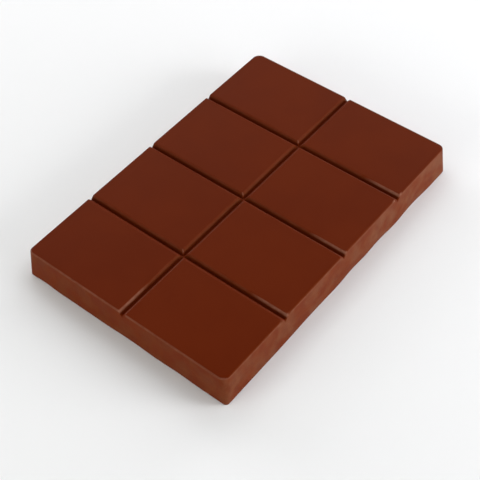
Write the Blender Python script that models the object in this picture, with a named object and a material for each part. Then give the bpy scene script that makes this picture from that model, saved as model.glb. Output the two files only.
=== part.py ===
"""A moulded slab of chocolate, lying on its poured side.

Metres, +Z up. X runs across the slab and Y along it; the origin is the middle of the underside.
The slab is one solid: a block with a little draft, whose top is parted into equal sections by
V-shaped breaking grooves. The grooves run out through the sides, where they leave small notches.
"""

import math

import bmesh
import bpy
from mathutils import Matrix, Vector

# The mould's cavity. The top was its floor, so the slab widens downwards by DRAFT on each side.
TOP_WIDTH = 0.122
TOP_LENGTH = 0.179
THICKNESS = 0.0174
DRAFT = 0.0015
TOP_CORNER_RADIUS = 0.0038
BASE_CORNER_RADIUS = 0.0031

# The sections are all the same size, SECTION_GAP apart, and a groove runs along the middle of
# each gap. GROOVE_WIDTH is the width of its V before the shoulders are rounded.
SECTIONS_ACROSS = 2
SECTIONS_ALONG = 4
SECTION_GAP = 0.0044
GROOVE_WIDTH = 0.0036
GROOVE_DEPTH = 0.0024

# How far each rounding reaches along the faces beside its edge.
TOP_EDGE_ROUND = 0.0010
SHOULDER_ROUND = 0.0006
NOTCH_ROUND = 0.0013
SECTION_CORNER_ROUND = 0.0009
GROOVE_FLOOR_ROUND = 0.0003
RIM_ROUND = 0.0007

CORNER_SEGMENTS = 8
ROUND_SEGMENTS = 4
NEAR = 1e-6

CHOCOLATE_COLOUR = (0.118, 0.022, 0.008, 1.0)
CHOCOLATE_ROUGHNESS = 0.32


def groove_centres(length, sections):
    """Where the grooves lie along a top of this length, counted from its middle."""
    pitch = (length + SECTION_GAP) / sections
    return [pitch * (i + 1 - sections / 2) for i in range(sections - 1)]


def tapered_block(bm):
    """The slab before its grooves, its upright corners a little sharper at the wider base."""
    made = bmesh.ops.create_cube(bm, size=1.0)
    upright = Matrix.Translation((0.0, 0.0, THICKNESS / 2)) @ Matrix.Diagonal(
        (TOP_WIDTH, TOP_LENGTH, THICKNESS, 1.0)
    )
    bmesh.ops.transform(bm, matrix=upright, verts=made["verts"])
    bmesh.ops.bevel(
        bm,
        geom=[e for e in bm.edges if abs(e.verts[0].co.z - e.verts[1].co.z) > THICKNESS / 2],
        offset=TOP_CORNER_RADIUS,
        offset_type="OFFSET",
        segments=CORNER_SEGMENTS,
        profile=0.5,
        affect="EDGES",
        material=-1,
    )
    sharper = BASE_CORNER_RADIUS / TOP_CORNER_RADIUS
    for vert in bm.verts:
        if vert.co.z > THICKNESS / 2:
            continue
        for axis, length in enumerate((TOP_WIDTH, TOP_LENGTH)):
            inwards = length / 2 - abs(vert.co[axis])
            outermost = length / 2 + DRAFT
            vert.co[axis] = math.copysign(outermost - inwards * sharper, vert.co[axis])


def cut_lines(bm, axis, centre):
    """Cuts the block at both shoulders and at the middle of the groove that crosses this axis."""
    for offset in (-GROOVE_WIDTH / 2, 0.0, GROOVE_WIDTH / 2):
        point = Vector((0.0, 0.0, 0.0))
        point[axis] = centre + offset
        normal = Vector((0.0, 0.0, 0.0))
        normal[axis] = 1.0
        bmesh.ops.bisect_plane(
            bm,
            geom=bm.verts[:] + bm.edges[:] + bm.faces[:],
            dist=NEAR,
            plane_co=point,
            plane_no=normal,
        )


def is_on(value, places):
    return any(abs(value - place) < NEAR for place in places)


def sink_grooves(bm, across, along):
    """Lowers the middle line of each groove. Its ends keep to the slope of the sides."""
    spread = GROOVE_DEPTH * DRAFT / THICKNESS
    for vert in bm.verts:
        if vert.co.z < THICKNESS - NEAR:
            continue
        if not (is_on(vert.co.x, across) or is_on(vert.co.y, along)):
            continue
        vert.co.z -= GROOVE_DEPTH
        if abs(abs(vert.co.x) - TOP_WIDTH / 2) < NEAR:
            vert.co.x += math.copysign(spread, vert.co.x)
        if abs(abs(vert.co.y) - TOP_LENGTH / 2) < NEAR:
            vert.co.y += math.copysign(spread, vert.co.y)


def split_crossings(bm, across, along):
    """Parts each corner of a crossing from its middle to the section's corner."""
    middles = [
        v
        for v in bm.verts
        if v.co.z > THICKNESS / 2 and is_on(v.co.x, across) and is_on(v.co.y, along)
    ]
    for middle in middles:
        for face in list(middle.link_faces):
            corner = max(face.verts, key=lambda v: v.co.z)
            bmesh.utils.face_split(face, middle, corner)


def is_side(face):
    """Only the sides stand this steeply; the walls of the grooves lean back further."""
    return abs(face.normal.z) < 0.3


def edge_rounding(edge, across, along):
    """How wide this edge is rounded, or nothing for one inside a flat face."""
    first, second = edge.link_faces
    if first.normal.dot(second.normal) > 0.999:
        return 0.0
    sides = is_side(first) + is_side(second)
    lows = [v.co.z < NEAR for v in edge.verts]
    if all(lows):
        return RIM_ROUND
    if sides == 2:
        return 0.0
    if sides == 1:
        wall = second if is_side(first) else first
        return TOP_EDGE_ROUND if wall.normal.z > 0.99 else NOTCH_ROUND
    if first.normal.z > 0.99 or second.normal.z > 0.99:
        return SHOULDER_ROUND
    if all(is_on(v.co.x, across) for v in edge.verts) or all(is_on(v.co.y, along) for v in edge.verts):
        return GROOVE_FLOOR_ROUND
    return SECTION_CORNER_ROUND


def slab_mesh():
    """The mesh of the slab, and the widest rounding, which the weights of its edges share out."""
    across = groove_centres(TOP_WIDTH, SECTIONS_ACROSS)
    along = groove_centres(TOP_LENGTH, SECTIONS_ALONG)
    bm = bmesh.new()
    tapered_block(bm)
    for centre in across:
        cut_lines(bm, 0, centre)
    for centre in along:
        cut_lines(bm, 1, centre)
    sink_grooves(bm, across, along)
    split_crossings(bm, across, along)
    bm.normal_update()
    widest = max(TOP_EDGE_ROUND, NOTCH_ROUND, RIM_ROUND)
    weight = bm.edges.layers.float.new("bevel_weight_edge")
    for edge in bm.edges:
        edge[weight] = edge_rounding(edge, across, along) / widest
    mesh = bpy.data.meshes.new("chocolate_slab")
    bm.to_mesh(mesh)
    bm.free()
    return mesh, widest


def chocolate_material():
    material = bpy.data.materials.new("chocolate")
    material.use_nodes = True
    shader = material.node_tree.nodes["Principled BSDF"]
    shader.inputs["Base Color"].default_value = CHOCOLATE_COLOUR
    shader.inputs["Roughness"].default_value = CHOCOLATE_ROUGHNESS
    shader.inputs["Metallic"].default_value = 0.0
    return material


def build():
    for obj in list(bpy.data.objects):
        bpy.data.objects.remove(obj, do_unlink=True)
    mesh, widest = slab_mesh()
    slab = bpy.data.objects.new("chocolate_slab", mesh)
    bpy.context.scene.collection.objects.link(slab)
    rounding = slab.modifiers.new("rounded edges", "BEVEL")
    rounding.limit_method = "WEIGHT"
    rounding.offset_type = "OFFSET"
    rounding.width = widest
    rounding.segments = ROUND_SEGMENTS
    rounding.profile = 0.5
    mesh.materials.append(chocolate_material())
    mesh.shade_smooth()
    mesh.set_sharp_from_angle(angle=math.radians(35.0))


build()
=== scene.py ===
"""The looks of an unwrapped slab of milk chocolate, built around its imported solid.

Metres, +Z up. X runs across the slab and Y along it; the slab lies on z = 0.
"""

import math

import bmesh
import bpy
from mathutils import Matrix, Vector, noise


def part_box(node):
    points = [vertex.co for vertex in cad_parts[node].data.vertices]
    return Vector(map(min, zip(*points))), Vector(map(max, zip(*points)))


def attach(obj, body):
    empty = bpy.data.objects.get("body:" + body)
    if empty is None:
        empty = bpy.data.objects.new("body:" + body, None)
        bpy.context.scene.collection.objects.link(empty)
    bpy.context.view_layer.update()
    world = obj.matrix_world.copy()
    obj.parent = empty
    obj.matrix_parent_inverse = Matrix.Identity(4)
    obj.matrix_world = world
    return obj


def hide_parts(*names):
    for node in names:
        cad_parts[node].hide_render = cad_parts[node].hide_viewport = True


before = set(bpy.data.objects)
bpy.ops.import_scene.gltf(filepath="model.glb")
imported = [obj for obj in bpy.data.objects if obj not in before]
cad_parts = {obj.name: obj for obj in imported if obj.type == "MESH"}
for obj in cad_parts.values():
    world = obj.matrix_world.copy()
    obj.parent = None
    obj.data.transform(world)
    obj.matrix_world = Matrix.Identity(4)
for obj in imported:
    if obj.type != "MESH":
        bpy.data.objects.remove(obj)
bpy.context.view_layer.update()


# The chocolate slab.
# One solid piece of milk chocolate, poured into a mould and knocked out when set, so the top is as flat
# and smooth as the mould, the sides lean outwards a little, and the poured side that it lies on has a
# slightly uneven rim. V-shaped grooves part the top into equal sections to break it by.

slab_low, slab_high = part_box("chocolate_slab")
SLAB_DRAFT = 0.0015
SLAB_THICKNESS = slab_high.z
SLAB_TOP_WIDTH = slab_high.x - slab_low.x - 2 * SLAB_DRAFT
SLAB_TOP_LENGTH = slab_high.y - slab_low.y - 2 * SLAB_DRAFT

# Radius of each upright corner at the top and at the base, by the signs of its x and y.
CORNER_RADII = {
    (-1, -1): (0.0030, 0.0027),
    (1, -1): (0.0042, 0.0021),
    (1, 1): (0.0034, 0.0034),
    (-1, 1): (0.0046, 0.0040),
}
CORNER_SEGMENTS = 12

SECTIONS_ACROSS = 2
SECTIONS_ALONG = 4
SECTION_GAP = 0.0044
GROOVE_WIDTH = 0.0036
GROOVE_DEPTH = 0.0024

TOP_EDGE_ROUND = 0.0010
SHOULDER_ROUND = 0.0006
NOTCH_ROUND = 0.0009
SECTION_CORNER_ROUND = 0.0010
GROOVE_FLOOR_ROUND = 0.0003
RIM_ROUND = 0.0008
WIDEST_ROUND = 0.0014
ROUND_SEGMENTS = 6

# The fine cuts that let the surface wander, and how far it does so on the top and on the sides.
CUT_SPACING = 0.0030
CUT_HEIGHTS = (0.0022, 0.0050, 0.0080, 0.0110, 0.0138, 0.0156)
TOP_WANDER = 0.00003
SIDE_WANDER = 0.00014
RIM_WANDER = 0.00020
SAME_PLACE = 1e-6

# Where the rim draws in, because the mould wasn't quite full there: the side it is on, by axis and sign,
# the middle of the stretch along that side, half its length, and how far it draws in.
SHORT_FILLS = (
    (0, 1, 0.008, 0.016, 0.00055),
    (0, 1, 0.029, 0.017, 0.00060),
    (0, 1, 0.059, 0.018, 0.00065),
    (0, 1, -0.028, 0.026, 0.00030),
    (1, -1, -0.052, 0.010, 0.00035),
    (1, -1, 0.004, 0.018, 0.00030),
    (1, -1, 0.034, 0.012, 0.00020),
)
SHORT_FILL_HEIGHT = 0.0055

# Painted highlights, from 0 to 1: pale lines along the top edges, a faint paling of the grooves'
# shoulders and walls, glints on the section corners at the crossings, and brighter highlights on the
# walls near where the long groove and the cross grooves run out, within the length given below.
FRONT_EDGE_PAINTED_HIGHLIGHT = 0.50
FRONT_EDGE_FACING = 0.90
EDGE_PAINTED_HIGHLIGHT = 0.50
EDGE_FACING = 0.60
GROOVE_PAINTED_LIGHT = 0.11
CROSSING_PAINTED_GLINT = 0.90
GROOVE_REACH = 0.0027
FRONT_END_PAINTED_HIGHLIGHT = 1.00
RIGHT_END_PAINTED_HIGHLIGHT = 1.00
PAINTED_HIGHLIGHT_LENGTH = 0.022
PAINTED_HIGHLIGHT_FACING = 0.90
SHOULDER_SHARE = 0.25
PAINTED_HIGHLIGHT_FOOT = 0.0008

# How thick the bloom lies on the right side, towards its front and its back end, and on the other sides,
# towards the middle and the right end of the front. It is partly real bloom and partly painted light, which
# makes the right side paler, most towards its back end.
RIGHT_BLOOM_AND_PAINTED_LIGHT = (0.25, 0.40)
OTHER_BLOOM_AND_PAINTED_LIGHT = (0.08, 0.15)


def groove_centres(length, sections):
    """Where the grooves lie along a top of this length, counted from its middle."""
    pitch = (length + SECTION_GAP) / sections
    return [pitch * (i + 1 - sections / 2) for i in range(sections - 1)]


def make_block(bm):
    """A box whose upright corners are rounded, each by its own radius, and whose sides lean outwards."""
    half = Vector((SLAB_TOP_WIDTH / 2, SLAB_TOP_LENGTH / 2))
    bmesh.ops.create_cube(bm, size=1.0)
    size = Matrix.Diagonal((SLAB_TOP_WIDTH, SLAB_TOP_LENGTH, SLAB_THICKNESS, 1.0))
    lift = Matrix.Translation((0.0, 0.0, SLAB_THICKNESS / 2))
    bmesh.ops.transform(bm, matrix=lift @ size, verts=bm.verts)
    for (sign_x, sign_y), (top_radius, base_radius) in CORNER_RADII.items():
        corner = Vector((sign_x * half.x, sign_y * half.y))
        upright = [
            e for e in bm.edges if all((v.co.xy - corner).length < SAME_PLACE for v in e.verts)
        ]
        bmesh.ops.bevel(
            bm,
            geom=upright,
            offset=top_radius,
            offset_type="OFFSET",
            segments=CORNER_SEGMENTS,
            profile=0.5,
            affect="EDGES",
            material=-1,
        )
    for vert in bm.verts:
        if vert.co.z > SLAB_THICKNESS / 2:
            continue
        signs = (1 if vert.co.x > 0 else -1, 1 if vert.co.y > 0 else -1)
        top_radius, base_radius = CORNER_RADII[signs]
        for axis in (0, 1):
            inwards = half[axis] - abs(vert.co[axis])
            outermost = half[axis] + SLAB_DRAFT
            vert.co[axis] = signs[axis] * (outermost - inwards * base_radius / top_radius)


def cut_across(bm, axis, place):
    """Cuts every face that this plane passes through."""
    point = Vector((0.0, 0.0, 0.0))
    point[axis] = place
    normal = Vector((0.0, 0.0, 0.0))
    normal[axis] = 1.0
    bmesh.ops.bisect_plane(
        bm,
        geom=bm.verts[:] + bm.edges[:] + bm.faces[:],
        dist=SAME_PLACE,
        plane_co=point,
        plane_no=normal,
    )


def is_on(value, places):
    return any(abs(value - place) < SAME_PLACE for place in places)


def sink_grooves(bm, across, along):
    """Lowers the middle line of each groove, whose ends keep to the slope of the sides."""
    spread = GROOVE_DEPTH * SLAB_DRAFT / SLAB_THICKNESS
    for vert in bm.verts:
        if vert.co.z < SLAB_THICKNESS - SAME_PLACE:
            continue
        if not (is_on(vert.co.x, across) or is_on(vert.co.y, along)):
            continue
        vert.co.z -= GROOVE_DEPTH
        if is_on(abs(vert.co.x), [SLAB_TOP_WIDTH / 2]):
            vert.co.x += math.copysign(spread, vert.co.x)
        if is_on(abs(vert.co.y), [SLAB_TOP_LENGTH / 2]):
            vert.co.y += math.copysign(spread, vert.co.y)


def part_crossings(bm, across, along):
    """Parts each quarter of a crossing from its middle to the section's corner."""
    middles = [
        v
        for v in bm.verts
        if v.co.z > SLAB_THICKNESS / 2 and is_on(v.co.x, across) and is_on(v.co.y, along)
    ]
    for middle in middles:
        for face in list(middle.link_faces):
            corner = max(face.verts, key=lambda v: v.co.z)
            bmesh.utils.face_split(face, middle, corner)


def edge_rounding(edge, across, along):
    """How far this edge is rounded, or nothing for one inside a flat face."""
    first, second = edge.link_faces
    if first.normal.dot(second.normal) > 0.999:
        return 0.0
    if all(v.co.z < SAME_PLACE for v in edge.verts):
        return RIM_ROUND
    sides = [abs(face.normal.z) < 0.3 for face in (first, second)]
    if all(sides):
        return 0.0
    if any(sides):
        wall = second if sides[0] else first
        return TOP_EDGE_ROUND if wall.normal.z > 0.99 else NOTCH_ROUND
    if max(first.normal.z, second.normal.z) > 0.99:
        return SHOULDER_ROUND
    if all(is_on(v.co.x, across) for v in edge.verts) or all(is_on(v.co.y, along) for v in edge.verts):
        return GROOVE_FLOOR_ROUND
    return SECTION_CORNER_ROUND


def rounded_slab():
    """The slab's mesh with every edge rounded, each kind of edge as far as its own size says."""
    across = groove_centres(SLAB_TOP_WIDTH, SECTIONS_ACROSS)
    along = groove_centres(SLAB_TOP_LENGTH, SECTIONS_ALONG)
    bm = bmesh.new()
    make_block(bm)
    for axis, centres in enumerate((across, along)):
        for centre in centres:
            for offset in (-GROOVE_WIDTH / 2, 0.0, GROOVE_WIDTH / 2):
                cut_across(bm, axis, centre + offset)
    sink_grooves(bm, across, along)
    part_crossings(bm, across, along)
    bm.normal_update()
    weight = bm.edges.layers.float.new("bevel_weight_edge")
    for edge in bm.edges:
        edge[weight] = edge_rounding(edge, across, along) / WIDEST_ROUND
    sharp = bpy.data.meshes.new("sharp_slab")
    bm.to_mesh(sharp)
    bm.free()
    holder = bpy.data.objects.new("sharp_slab", sharp)
    bpy.context.scene.collection.objects.link(holder)
    rounding = holder.modifiers.new("rounded edges", "BEVEL")
    rounding.limit_method = "WEIGHT"
    rounding.offset_type = "OFFSET"
    rounding.width = WIDEST_ROUND
    rounding.segments = ROUND_SEGMENTS
    rounding.profile = 0.5
    graph = bpy.context.evaluated_depsgraph_get()
    rounded = bpy.data.meshes.new_from_object(holder.evaluated_get(graph))
    bpy.data.objects.remove(holder)
    bpy.data.meshes.remove(sharp)
    return rounded


def wander(place, scale):
    """Smooth noise from 0 to 1, with humps about scale metres apart."""
    return min(max(0.5 + 0.7 * noise.noise(place / scale), 0.0), 1.0)


def short_fill(place):
    """How far the rim draws in here, fading out upwards and towards the ends of each stretch."""
    lift = max(0.0, 1.0 - place.z / SHORT_FILL_HEIGHT)
    drawn = Vector((0.0, 0.0, 0.0))
    for axis, sign, middle, half_length, depth in SHORT_FILLS:
        outermost = (slab_high.x, slab_high.y)[axis]
        if outermost - sign * place[axis] > SHORT_FILL_HEIGHT:
            continue
        along = (place[1 - axis] - middle) / half_length
        if abs(along) < 1.0:
            drawn[axis] -= sign * depth * lift * math.cos(along * math.pi / 2) ** 2
    return drawn


def make_uneven(bm):
    """Lets the surface dip by hair's breadths, never outwards: least on the top, most at the rim."""
    bm.normal_update()
    moves = []
    for vert in bm.verts:
        steep = 1.0 - min(abs(vert.normal.z) * 1.2, 1.0)
        depth = SIDE_WANDER * steep * (0.65 * wander(vert.co, 0.011) + 0.35 * wander(vert.co * 1.7, 0.006))
        depth += TOP_WANDER * wander(vert.co, 0.030)
        near_rim = max(0.0, 1.0 - vert.co.z / CUT_HEIGHTS[1])
        depth += RIM_WANDER * steep * near_rim * wander(vert.co + Vector((0.1, 0.2, 0.0)), 0.016)
        moves.append((vert, short_fill(vert.co) - vert.normal * depth))
    for vert, move in moves:
        vert.co += move
        vert.co.z = max(vert.co.z, 0.0)


def painted_groove_highlight(vert, in_long, in_cross):
    """Painted highlight for this place in a groove: a glint on a section corner at a crossing, a faint
    paling elsewhere, and a stronger highlight on the wall where it runs out through a near side.
    """
    out_front = vert.co.y + SLAB_TOP_LENGTH / 2
    out_right = SLAB_TOP_WIDTH / 2 - vert.co.x
    share = 1.0 if vert.normal.z < PAINTED_HIGHLIGHT_FACING else SHOULDER_SHARE
    if in_long and in_cross:
        return CROSSING_PAINTED_GLINT if vert.normal.x > 0.1 and vert.normal.y < -0.1 else GROOVE_PAINTED_LIGHT
    if in_long and vert.normal.x > 0.0 and out_front < PAINTED_HIGHLIGHT_LENGTH:
        return share * FRONT_END_PAINTED_HIGHLIGHT * min(1.0, 2.0 - 2.0 * out_front / PAINTED_HIGHLIGHT_LENGTH)
    if in_cross and vert.normal.y < 0.0 and out_right < PAINTED_HIGHLIGHT_LENGTH:
        return share * RIGHT_END_PAINTED_HIGHLIGHT * min(1.0, 2.0 - 2.0 * out_right / PAINTED_HIGHLIGHT_LENGTH)
    return GROOVE_PAINTED_LIGHT


def mark_painted_highlights(bm):
    """Marks the painted highlight of each rounding of the top; flats, sides and groove floors get none."""
    across = groove_centres(SLAB_TOP_WIDTH, SECTIONS_ACROSS)
    along = groove_centres(SLAB_TOP_LENGTH, SECTIONS_ALONG)
    bm.normal_update()
    painted_highlight = bm.verts.layers.float.new("painted_highlight")
    for vert in bm.verts:
        if not (0.15 < vert.normal.z < 0.97 and SLAB_THICKNESS - vert.co.z < TOP_EDGE_ROUND):
            continue
        in_long = any(abs(vert.co.x - centre) < GROOVE_REACH for centre in across)
        in_cross = any(abs(vert.co.y - centre) < GROOVE_REACH for centre in along)
        if in_long or in_cross:
            vert[painted_highlight] = painted_groove_highlight(vert, in_long, in_cross)
        elif vert.normal.y < -0.3 and vert.normal.z < FRONT_EDGE_FACING:
            vert[painted_highlight] = FRONT_EDGE_PAINTED_HIGHLIGHT
        elif vert.normal.z < EDGE_FACING:
            vert[painted_highlight] = EDGE_PAINTED_HIGHLIGHT


def ramp(value, start, end, low=0.0, high=1.0):
    """Goes smoothly from low, where value is start, to high, where it is end."""
    along = min(max((value - start) / (end - start), 0.0), 1.0)
    return low + (high - low) * along * along * (3.0 - 2.0 * along)


def mark_sides(bm):
    """Marks the sides off from the top and the grooves, and how much bloom each place on them carries.

    The bloom is partly painted light that pales the right side most towards its back end.
    """
    bm.normal_update()
    on_side = bm.verts.layers.float.new("on_side")
    bloom_and_painted_light = bm.verts.layers.float.new("bloom_and_painted_light")
    for vert in bm.verts:
        vert[on_side] = ramp(abs(vert.normal.z), 0.45, 0.25)
        facing_right = ramp(vert.normal.x, 0.3, 0.8)
        right_bloom_and_light = ramp(vert.co.y, slab_low.y, slab_high.y * 0.5, *RIGHT_BLOOM_AND_PAINTED_LIGHT)
        other_bloom_and_light = ramp(vert.co.x, 0.0, slab_high.x, *OTHER_BLOOM_AND_PAINTED_LIGHT)
        vert[bloom_and_painted_light] = facing_right * right_bloom_and_light + (1.0 - facing_right) * other_bloom_and_light


def make_slab():
    mesh = rounded_slab()
    bm = bmesh.new()
    bm.from_mesh(mesh)
    for axis, length in enumerate((SLAB_TOP_WIDTH, SLAB_TOP_LENGTH)):
        count = int(length / CUT_SPACING)
        for i in range(1, count):
            cut_across(bm, axis, length * (i / count - 0.5))
        for centre in groove_centres(length, (SECTIONS_ACROSS, SECTIONS_ALONG)[axis]):
            for offset in (-GROOVE_REACH, -PAINTED_HIGHLIGHT_FOOT, PAINTED_HIGHLIGHT_FOOT, GROOVE_REACH):
                cut_across(bm, axis, centre + offset)
    for height in CUT_HEIGHTS:
        cut_across(bm, 2, height)
    mark_painted_highlights(bm)
    mark_sides(bm)
    make_uneven(bm)
    bmesh.ops.triangulate(bm, faces=[f for f in bm.faces if len(f.verts) > 4])
    bm.to_mesh(mesh)
    bm.free()
    mesh.name = "slab"
    mesh.shade_smooth()
    slab = bpy.data.objects.new("slab", mesh)
    bpy.context.scene.collection.objects.link(slab)
    fair = slab.modifiers.new("flat faces lead", "WEIGHTED_NORMAL")
    fair.mode = "FACE_AREA"
    fair.weight = 100
    return slab


# The smooth brown of the moulded top. The duller, paler brown of the sides: partly rubbed against the
# mould, partly painted light that makes the sides brighter than the top. The palest browns: the faint bloom
# on the sides, itself partly painted light, and painted highlights on edges and in grooves.
MOULDED_BROWN = (0.1050, 0.0104, 0.0008, 1.0)
MOULDED_DEEP = (0.0960, 0.0087, 0.0006, 1.0)
RUBBED_AND_PAINTED_LIGHT_BROWN = (0.1235, 0.0185, 0.0030, 1.0)
RUBBED_AND_PAINTED_LIGHT_DEEP = (0.1065, 0.0125, 0.0011, 1.0)
BLOOM_AND_PAINTED_LIGHT_BROWN = (0.2000, 0.0700, 0.0360, 1.0)
PAINTED_HIGHLIGHT_BROWN = (0.2000, 0.0730, 0.0460, 1.0)

# Multiplied into the sides' brown: the bloom dulls it to a greyer brown in patches.
REDDER = (1.02, 0.95, 0.92, 1.0)
GREYER = (0.97, 1.08, 1.12, 1.0)


def milk_chocolate():
    material = bpy.data.materials.new("milk_chocolate")
    material.use_nodes = True
    nodes = material.node_tree.nodes
    links = material.node_tree.links
    shader = nodes["Principled BSDF"]
    shader.inputs["Specular IOR Level"].default_value = 0.08
    shader.inputs["Specular Tint"].default_value = (1.0, 0.68, 0.2, 1.0)
    place = nodes.new("ShaderNodeTexCoord")

    def noise_at(scale, detail, roughness, stretch=(1.0, 1.0, 1.0)):
        mapping = nodes.new("ShaderNodeMapping")
        mapping.inputs["Scale"].default_value = stretch
        links.new(place.outputs["Object"], mapping.inputs["Vector"])
        texture = nodes.new("ShaderNodeTexNoise")
        texture.inputs["Scale"].default_value = scale
        texture.inputs["Detail"].default_value = detail
        texture.inputs["Roughness"].default_value = roughness
        links.new(mapping.outputs["Vector"], texture.inputs["Vector"])
        return texture.outputs["Fac"]

    def spread(value, from_low, from_high, to_low=0.0, to_high=1.0):
        node = nodes.new("ShaderNodeMapRange")
        node.interpolation_type = "SMOOTHSTEP"
        node.inputs["From Min"].default_value = from_low
        node.inputs["From Max"].default_value = from_high
        node.inputs["To Min"].default_value = to_low
        node.inputs["To Max"].default_value = to_high
        links.new(value, node.inputs["Value"])
        return node.outputs["Result"]

    def combine(operation, first, second):
        node = nodes.new("ShaderNodeMath")
        node.operation = operation
        for socket, value in zip(node.inputs, (first, second)):
            if isinstance(value, float):
                socket.default_value = value
            else:
                links.new(value, socket)
        return node.outputs["Value"]

    def blend(factor, first, second, how="MIX"):
        node = nodes.new("ShaderNodeMix")
        node.data_type = "RGBA"
        node.blend_type = how
        if isinstance(factor, float):
            node.inputs["Factor"].default_value = factor
        else:
            links.new(factor, node.inputs["Factor"])
        for name, colour in (("A", first), ("B", second)):
            if isinstance(colour, tuple):
                node.inputs[name].default_value = colour
            else:
                links.new(colour, node.inputs[name])
        return node.outputs["Result"]

    def marked(name):
        node = nodes.new("ShaderNodeAttribute")
        node.attribute_name = name
        return node.outputs["Fac"]

    on_side = marked("on_side")
    cloud = noise_at(32.0, 3.0, 0.5)
    mottle = noise_at(230.0, 4.0, 0.6, (1.0, 1.0, 0.7))
    patch = noise_at(120.0, 2.0, 0.5)
    grain = noise_at(900.0, 3.0, 0.6)

    top_tone = blend(spread(cloud, 0.3, 0.7), MOULDED_DEEP, MOULDED_BROWN)
    # The sides' paler brown is partly the rubbed finish and partly painted light.
    side_tone = blend(spread(mottle, 0.32, 0.68), RUBBED_AND_PAINTED_LIGHT_DEEP, RUBBED_AND_PAINTED_LIGHT_BROWN)
    # The pale bloom on the sides: partly real bloom in patches, partly painted light.
    bloom_and_light_cloud = combine("MULTIPLY", spread(patch, 0.3, 0.7, 0.6, 1.4), spread(mottle, 0.3, 0.7, 0.7, 1.3))
    bloom_and_painted_light = combine("MULTIPLY", marked("bloom_and_painted_light"), bloom_and_light_cloud)
    side_tone = blend(bloom_and_painted_light, side_tone, BLOOM_AND_PAINTED_LIGHT_BROWN)
    side_tone = blend(1.0, side_tone, blend(spread(patch, 0.38, 0.62), REDDER, GREYER), "MULTIPLY")
    tone = blend(on_side, top_tone, side_tone)
    # Painted highlights on the top's edges, the grooves and the section corners, in the palest brown.
    highlight_paint = combine("MULTIPLY", marked("painted_highlight"), spread(mottle, 0.3, 0.7, 0.7, 1.3))
    tone = blend(highlight_paint, tone, PAINTED_HIGHLIGHT_BROWN)
    links.new(tone, shader.inputs["Base Color"])

    top_gloss = spread(cloud, 0.3, 0.7, 0.45, 0.49)
    side_gloss = spread(mottle, 0.3, 0.7, 0.56, 0.68)
    dulling = nodes.new("ShaderNodeMix")
    links.new(on_side, dulling.inputs["Factor"])
    links.new(top_gloss, dulling.inputs["A"])
    links.new(side_gloss, dulling.inputs["B"])
    links.new(dulling.outputs["Result"], shader.inputs["Roughness"])

    rub_height = combine("MULTIPLY", combine("ADD", mottle, combine("MULTIPLY", grain, 0.25)), on_side)
    height = combine("ADD", rub_height, combine("MULTIPLY", grain, 0.06))
    bump = nodes.new("ShaderNodeBump")
    bump.inputs["Strength"].default_value = 0.5
    bump.inputs["Distance"].default_value = 0.0004
    links.new(height, bump.inputs["Height"])
    links.new(bump.outputs["Normal"], shader.inputs["Normal"])
    return material


slab = make_slab()
slab.data.materials.clear()
slab.data.materials.append(milk_chocolate())
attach(slab, "root")
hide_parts("chocolate_slab")


# The table top.
# A plain matt white round sheet that the slab lies on, as far out as the lamps light it evenly. It belongs
# to the studio, not to the object.

FLOOR_RADIUS = 1.05
FLOOR_SEGMENTS = 96
FLOOR_WHITE = (0.88, 0.88, 0.88, 1.0)


def make_floor():
    bm = bmesh.new()
    bmesh.ops.create_circle(bm, cap_ends=True, segments=FLOOR_SEGMENTS, radius=FLOOR_RADIUS)
    mesh = bpy.data.meshes.new("table_top")
    bm.to_mesh(mesh)
    bm.free()
    floor = bpy.data.objects.new("table_top", mesh)
    bpy.context.scene.collection.objects.link(floor)
    material = bpy.data.materials.new("matt_white")
    material.use_nodes = True
    shader = material.node_tree.nodes["Principled BSDF"]
    shader.inputs["Base Color"].default_value = FLOOR_WHITE
    shader.inputs["Roughness"].default_value = 0.9
    shader.inputs["Specular IOR Level"].default_value = 0.0
    mesh.materials.append(material)
    return floor


make_floor()


# The studio wall.
# A pale backdrop all round the table, well outside the lamps. It is seen past the edge of the table top
# when the slab is looked at from low down, and it gives no light of its own.

WALL_DISTANCE = 4.0
WALL_HEIGHT = 4.0
WALL_SEGMENTS = 64
WALL_WHITE = (0.95, 0.95, 0.95, 1.0)


def make_wall():
    bm = bmesh.new()
    bmesh.ops.create_cone(
        bm,
        cap_ends=True,
        segments=WALL_SEGMENTS,
        radius1=WALL_DISTANCE,
        radius2=WALL_DISTANCE,
        depth=WALL_HEIGHT,
    )
    bmesh.ops.reverse_faces(bm, faces=bm.faces)
    mesh = bpy.data.meshes.new("studio_wall")
    bm.to_mesh(mesh)
    bm.free()
    wall = bpy.data.objects.new("studio_wall", mesh)
    bpy.context.scene.collection.objects.link(wall)
    material = bpy.data.materials.new("wall_white")
    material.use_nodes = True
    shader = material.node_tree.nodes["Principled BSDF"]
    shader.inputs["Base Color"].default_value = (0.0, 0.0, 0.0, 1.0)
    shader.inputs["Specular IOR Level"].default_value = 0.0
    shader.inputs["Emission Color"].default_value = WALL_WHITE
    shader.inputs["Emission Strength"].default_value = 1.0
    mesh.materials.append(material)
    wall.visible_diffuse = False
    wall.visible_glossy = False
    wall.visible_transmission = False
    wall.visible_shadow = False
    return wall


make_wall()


# The camera.
# It looks down at the slab from beyond its front right corner, turned a little about its own axis.

CAMERA_AZIMUTH = math.radians(40.70)
CAMERA_ELEVATION = math.radians(50.13)
CAMERA_ROLL = math.radians(-2.65)
CAMERA_DISTANCE = 0.5296
CAMERA_AIM = Vector((0.0161, -0.0228, 0.0174))
CAMERA_LENS = 82.92
CAMERA_SENSOR = 36.0


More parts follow.
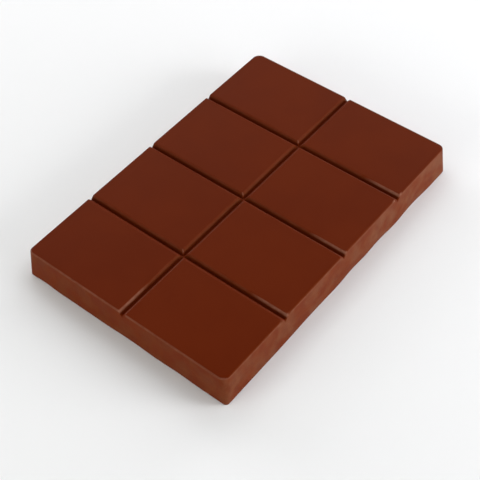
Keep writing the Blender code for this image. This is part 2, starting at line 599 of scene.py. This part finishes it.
def make_camera():
    back = Vector((
        math.sin(CAMERA_AZIMUTH) * math.cos(CAMERA_ELEVATION),
        -math.cos(CAMERA_AZIMUTH) * math.cos(CAMERA_ELEVATION),
        math.sin(CAMERA_ELEVATION),
    ))
    level = Vector((math.cos(CAMERA_AZIMUTH), math.sin(CAMERA_AZIMUTH), 0.0))
    upright = back.cross(level)
    right = level * math.cos(CAMERA_ROLL) + upright * math.sin(CAMERA_ROLL)
    up = upright * math.cos(CAMERA_ROLL) - level * math.sin(CAMERA_ROLL)
    lens = bpy.data.cameras.new("camera")
    lens.sensor_width = CAMERA_SENSOR
    lens.lens = CAMERA_LENS
    lens.clip_start = 0.01
    lens.clip_end = 20.0
    camera = bpy.data.objects.new("camera", lens)
    turned = Matrix((right, up, back)).transposed().to_4x4()
    camera.matrix_world = Matrix.Translation(CAMERA_AIM + back * CAMERA_DISTANCE) @ turned
    bpy.context.scene.collection.objects.link(camera)
    return camera


bpy.context.scene.camera = make_camera()


# The studio light.
# Large soft boxes round the table; the room itself gives no light. Each box is named by where it stands.

SOFT_BOXES = {
    "right_low": (0.0, 14.0, 0.55, 5.4),
    "back_right_low": (30.0, 14.0, 0.55, 10.5),
    "back_low": (90.0, 14.0, 0.55, 4.5),
    "back_left_low": (150.0, 14.0, 0.55, 0.9),
    "left_low": (174.0, 14.0, 0.55, 6.6),
    "front_left_low": (240.0, 14.0, 0.55, 3.5),
    "front_low": (270.0, 14.0, 0.55, 5.5),
    "front_right_low": (300.0, 14.0, 0.55, 1.4),
    "back_right_high": (36.0, 36.0, 0.60, 1.2),
    "back_left_high": (108.0, 36.0, 0.60, 2.8),
    "left_back_high": (144.0, 36.0, 0.60, 3.3),
    "front_high": (252.0, 36.0, 0.60, 1.5),
    "top_right": (51.0, 60.0, 0.60, 3.7),
    "top_left": (205.0, 60.0, 0.60, 1.8),
}
BOX_DISTANCE = 1.3

# The lamps in front of the slab are a shade warmer than the others, and those a shade cooler than white.
FRONT_LIGHT = (0.985, 1.00, 0.96)
OTHER_LIGHT = (1.00, 1.00, 1.02)
ROOM_BRIGHTNESS = 0.0


def make_soft_box(name, azimuth, elevation, size, watts):
    """A square lamp on a dome round the slab; azimuth counts from +X towards +Y."""
    turn, rise = math.radians(azimuth), math.radians(elevation)
    lamp = bpy.data.lights.new(name, "AREA")
    lamp.shape = "SQUARE"
    lamp.size = size
    lamp.energy = watts
    lamp.color = FRONT_LIGHT if math.sin(turn) < -0.1 else OTHER_LIGHT
    box = bpy.data.objects.new(name, lamp)
    box.location = BOX_DISTANCE * Vector((
        math.cos(turn) * math.cos(rise),
        math.sin(turn) * math.cos(rise),
        math.sin(rise),
    ))
    box.rotation_euler = (-box.location).to_track_quat("-Z", "Y").to_euler()
    bpy.context.scene.collection.objects.link(box)


for box_name, (azimuth, elevation, size, watts) in SOFT_BOXES.items():
    make_soft_box(box_name, azimuth, elevation, size, watts)

room = bpy.data.worlds.new("room")
room.use_nodes = True
room.node_tree.nodes["Background"].inputs["Color"].default_value = (1.0, 1.0, 1.0, 1.0)
room.node_tree.nodes["Background"].inputs["Strength"].default_value = ROOM_BRIGHTNESS
bpy.context.scene.world = room
bpy.context.scene.view_settings.view_transform = "Standard"
